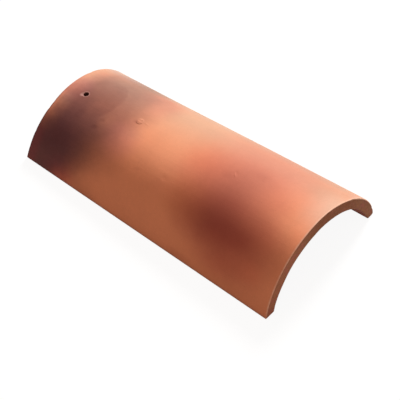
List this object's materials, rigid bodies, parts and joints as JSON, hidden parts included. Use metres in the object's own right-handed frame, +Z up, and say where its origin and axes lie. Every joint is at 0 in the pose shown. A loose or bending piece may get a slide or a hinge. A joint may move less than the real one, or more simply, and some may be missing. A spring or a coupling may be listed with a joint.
{
  "type": "clay roof tile",
  "caption": "Tapered half-barrel clay roof tile with flat long edges, rounded rims and a nail hole through the crown at the narrow end.",
  "frame": {"origin": "middle of the bed plane that the two long edges lie on, half way along the tile", "axes": "+X along the tile from the nailed narrow head end to the wide butt end, +Y across the tile, +Z up through the crown"},
  "size_m": [0.406, 0.2076, 0.0839],
  "materials": {
    "fired_clay": "matte unglazed fired clay, orange to peach with dark red-brown and mauve flashing"
  },
  "bodies": {
    "root": {"barrel_tile": "fired_clay"}
  },
  "joints": []
}
